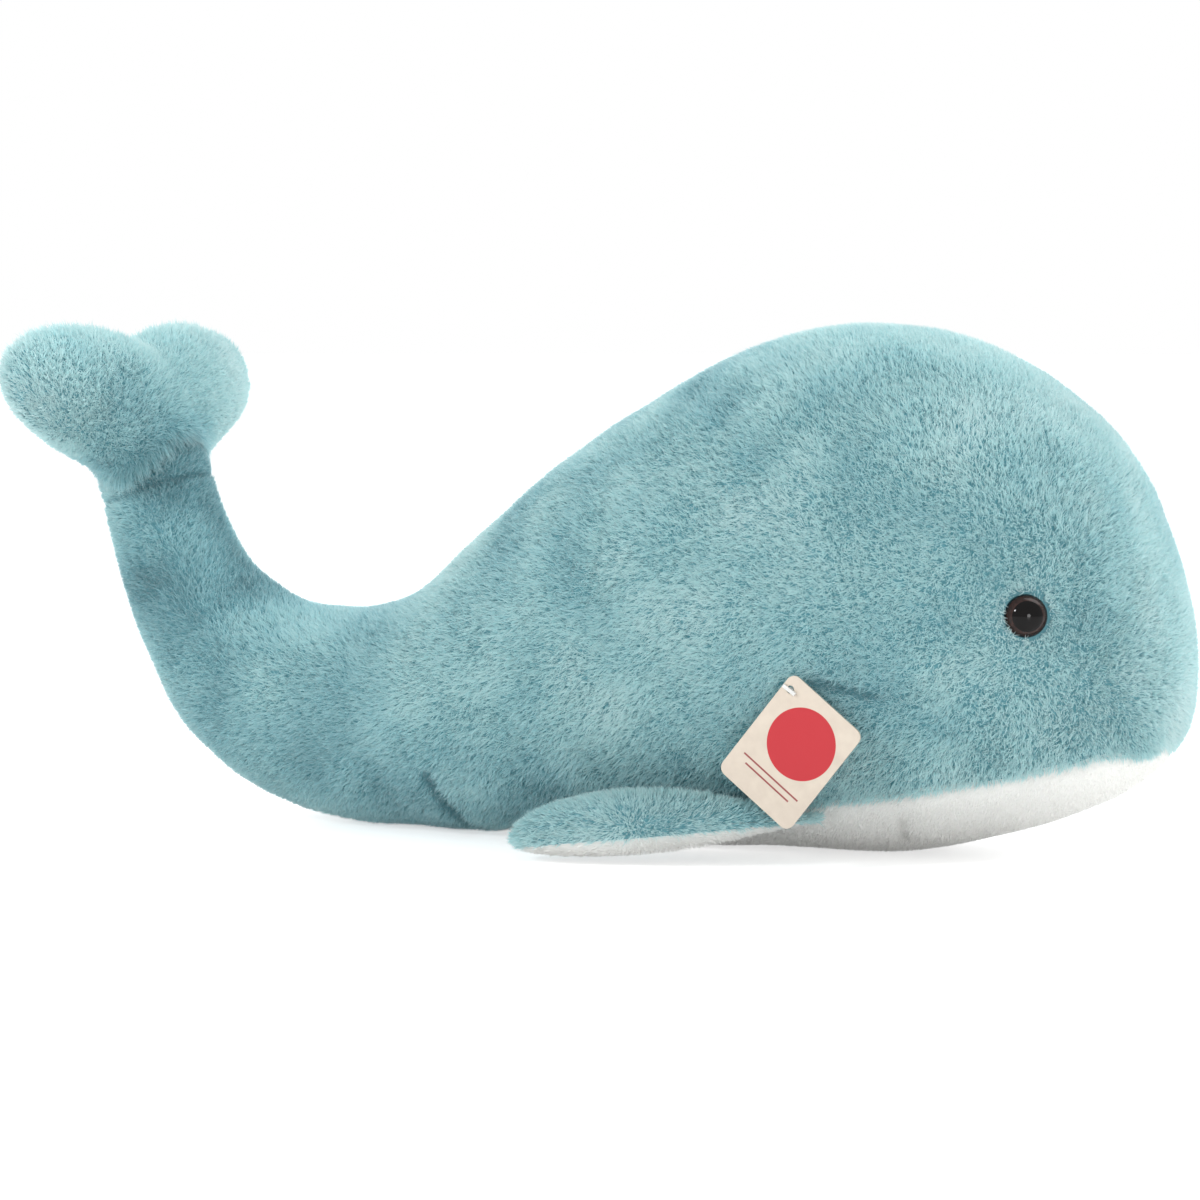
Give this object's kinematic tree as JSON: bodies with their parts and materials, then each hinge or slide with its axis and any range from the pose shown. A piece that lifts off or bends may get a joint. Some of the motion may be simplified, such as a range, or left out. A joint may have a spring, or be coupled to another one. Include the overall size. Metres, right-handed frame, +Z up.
{
  "type": "plush whale",
  "caption": "Stuffed toy whale in teal pile with a white belly, a raised tail with flukes, hinged flippers, safety eyes and a card tag on a nylon pin.",
  "frame": {"origin": "on the floor, under the middle of the overall length and width", "axes": "+X from the flukes towards the head, +Y to the whale's left side, +Z up"},
  "size_m": [0.4006, 0.1774, 0.1711],
  "materials": {
    "blue_plush": "teal pile, 5 to 7 mm long",
    "white_plush": "white pile, about 4 mm long",
    "stuffing": "loose polyester fibre",
    "eye_plastic": "glossy",
    "washer_plastic": "moulded",
    "card": "smooth printed card",
    "nylon": "milky nylon"
  },
  "bodies": {
    "trunk": {"body_side_left": "blue_plush", "body_side_right": "blue_plush", "belly_panel": "white_plush", "tail_cover_left": "blue_plush", "tail_cover_right": "blue_plush", "body_filling": "stuffing", "tail_filling": "stuffing", "eye_left": "eye_plastic", "eye_right": "eye_plastic", "eye_washer_left": "washer_plastic", "eye_washer_right": "washer_plastic", "tag_pin": "nylon"},
    "flukes": {"fluke_upper_panel": "blue_plush", "fluke_lower_panel": "blue_plush", "fluke_filling": "stuffing"},
    "flipper_left": {"flipper_left_upper_panel": "blue_plush", "flipper_left_lower_panel": "white_plush", "flipper_left_filling": "stuffing"},
    "flipper_right": {"flipper_right_upper_panel": "blue_plush", "flipper_right_lower_panel": "white_plush", "flipper_right_filling": "stuffing"},
    "tag": {"hang_tag": "card"}
  },
  "joints": [
    {"name": "fluke_bend", "type": "hinge", "parent": "trunk", "child": "flukes", "pos_m": [-0.17116, 0, 0.1145], "axis": [0, 1, 0], "range_deg": [-25, 25], "stiffness_Nm_per_rad": 0.2},
    {"name": "flipper_left_flap", "type": "hinge", "parent": "trunk", "child": "flipper_left", "pos_m": [0.08373, 0.05095, 0.01355], "axis": [0.9794, 0.1542, 0.1306], "range_deg": [0, 18]},
    {"name": "flipper_right_flap", "type": "hinge", "parent": "trunk", "child": "flipper_right", "pos_m": [0.08373, -0.05095, 0.01355], "axis": [-0.9794, 0.1542, -0.1306], "range_deg": [0, 18]},
    {"name": "tag_swing", "type": "hinge", "parent": "trunk", "child": "tag", "pos_m": [0.09646, -0.07569, 0.0579], "axis": [0, 1, 0], "range_deg": [-90, 90]}
  ]
}
